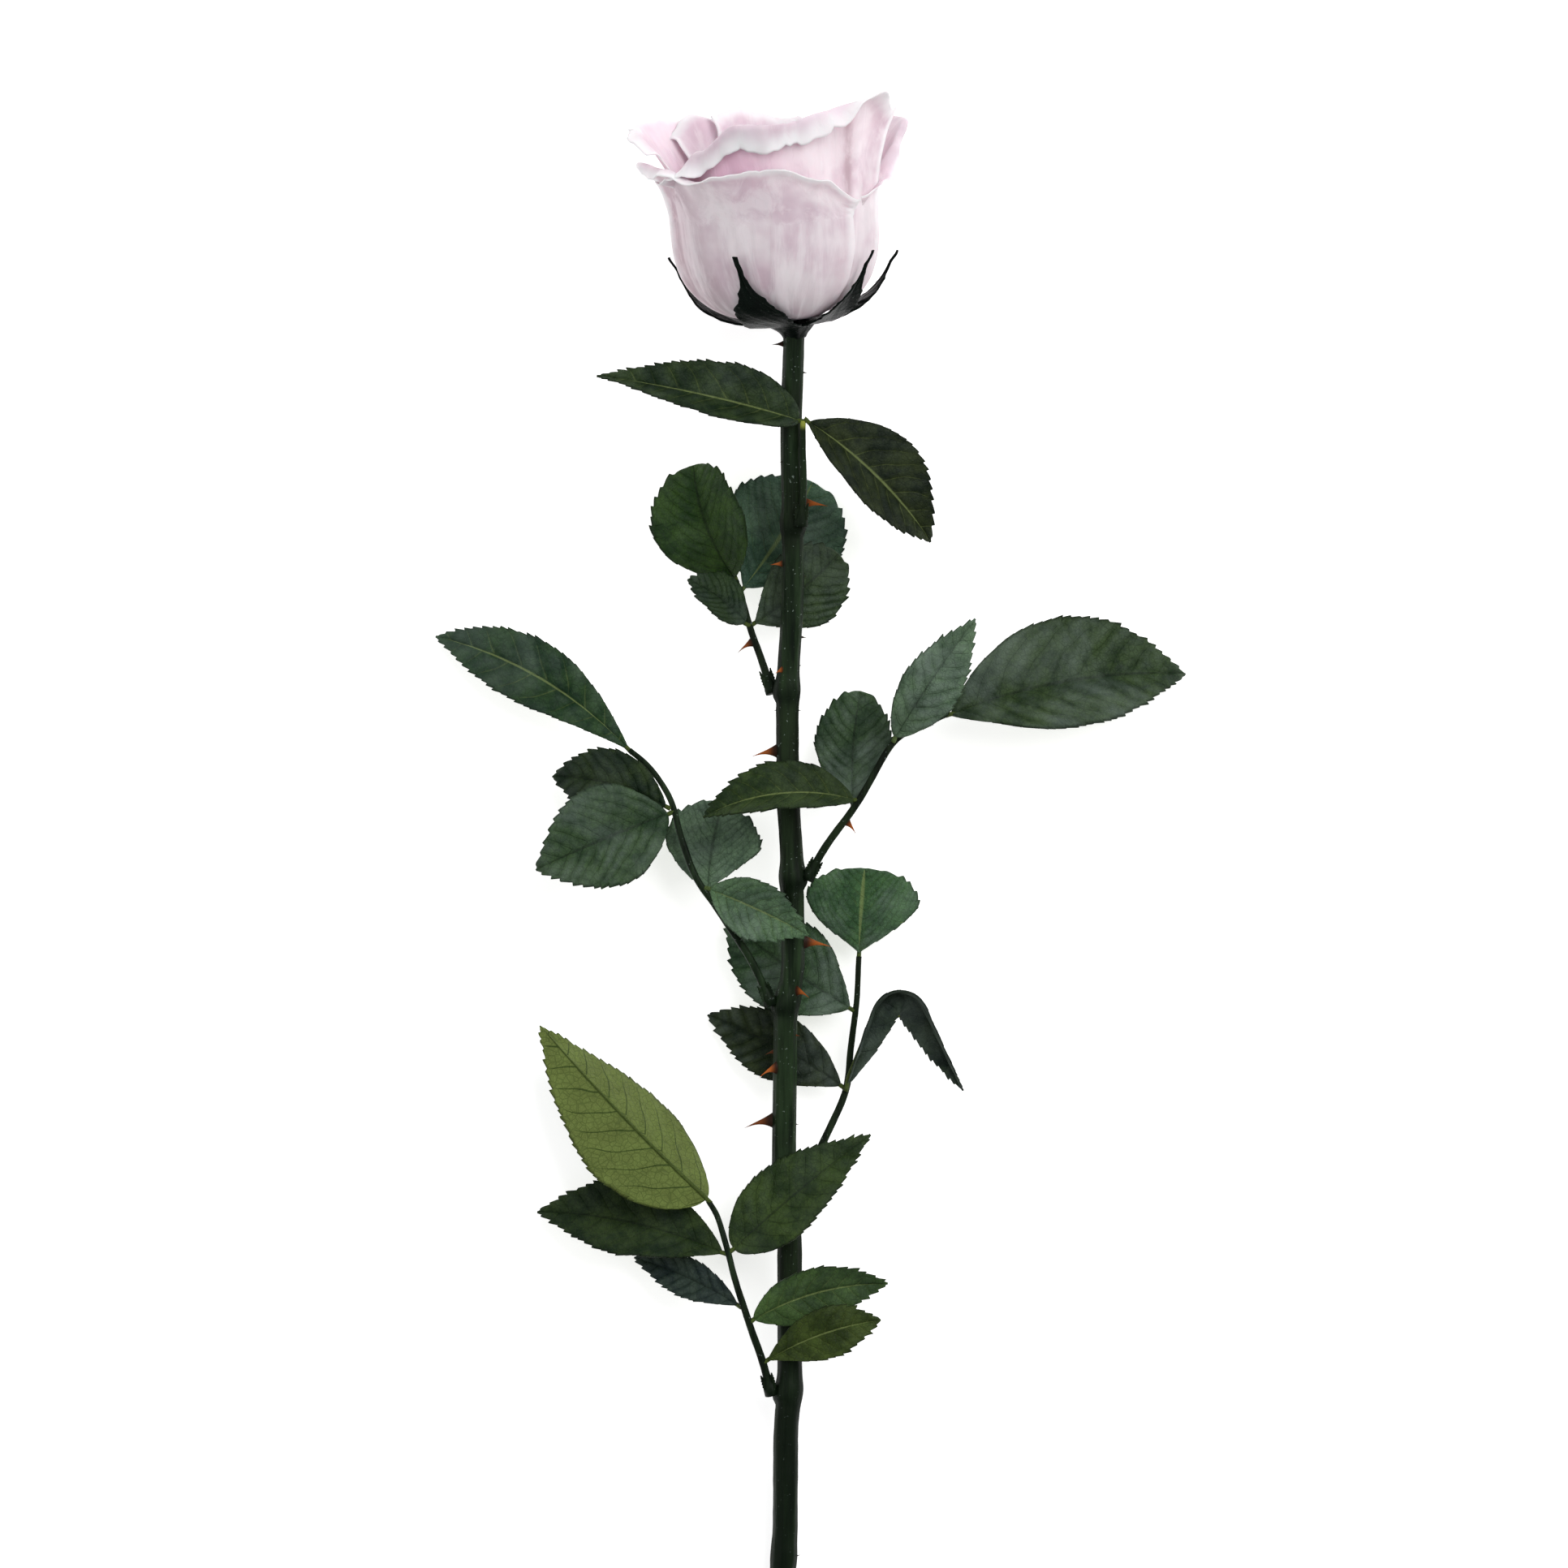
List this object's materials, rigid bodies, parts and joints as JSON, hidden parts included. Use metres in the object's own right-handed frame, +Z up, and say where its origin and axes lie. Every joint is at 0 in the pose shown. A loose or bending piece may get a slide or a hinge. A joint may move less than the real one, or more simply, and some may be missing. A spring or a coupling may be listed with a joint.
{
  "type": "cut rose",
  "caption": "Long-stemmed cut rose lying on its side: a half-open pale pink bloom with sepals, a thorny stem and compound leaves of pointed and rounded leaflets.",
  "frame": {"origin": "under the middle of the whole rose, on the surface that it lies on", "axes": "+Y along the stem towards the flower, +Z up off the surface, +X to the right of a person who looks down with the flower away"},
  "size_m": [0.1858, 0.4006, 0.0624],
  "materials": {
    "petal": "soft and velvety, pale pink fading to white at the rims",
    "leaf": "satin dark green above, lighter green below",
    "stem": "smooth green bark with woody thorns",
    "calyx": "matt very dark green"
  },
  "bodies": {
    "root": {"stem": "stem", "stalk_top": "stem", "leaflet_top_left": "leaf", "leaflet_top_right": "leaf", "stalk_behind": "stem", "leaflet_behind_upper_left": "leaf", "leaflet_behind_upper_right": "leaf", "leaflet_behind_lower_left": "leaf", "leaflet_behind_lower_right": "leaf", "stalk_right": "stem", "leaflet_right_tip": "leaf", "leaflet_right_upper": "leaf", "leaflet_right_inner": "leaf", "leaflet_right_crossing": "leaf", "stalk_left": "stem", "leaflet_left_tip": "leaf", "leaflet_left_under": "leaf", "leaflet_left_broad": "leaf", "leaflet_left_inner": "leaf", "leaflet_left_crossing": "leaf", "stalk_lower_right": "stem", "leaflet_lower_right_tip": "leaf", "leaflet_lower_right_behind": "leaf", "leaflet_lower_right_under": "leaf", "leaflet_lower_right_hanging": "leaf", "stalk_bottom": "stem", "leaflet_bottom_tip": "leaf", "leaflet_bottom_behind": "leaf", "leaflet_bottom_upper_right": "leaf", "leaflet_bottom_under": "leaf", "leaflet_bottom_right": "leaf", "leaflet_bottom_lower_right": "leaf", "petal_front": "petal", "petal_tall": "petal", "petal_right": "petal", "petal_left": "petal", "petal_back_left": "petal", "petal_back_right": "petal", "petal_right_inner": "petal", "petal_left_inner": "petal", "petal_heart_1": "petal", "petal_heart_2": "petal", "petal_heart_3": "petal", "petal_heart_4": "petal", "petal_heart_5": "petal", "petal_heart_6": "petal", "petal_heart_7": "petal", "petal_heart_8": "petal", "petal_heart_9": "petal", "petal_heart_10": "petal", "petal_heart_11": "petal", "petal_heart_12": "petal", "hip": "calyx", "sepal_front_left": "calyx", "sepal_front_right": "calyx", "sepal_left": "calyx", "sepal_right": "calyx", "sepal_back": "calyx"}
  },
  "joints": []
}
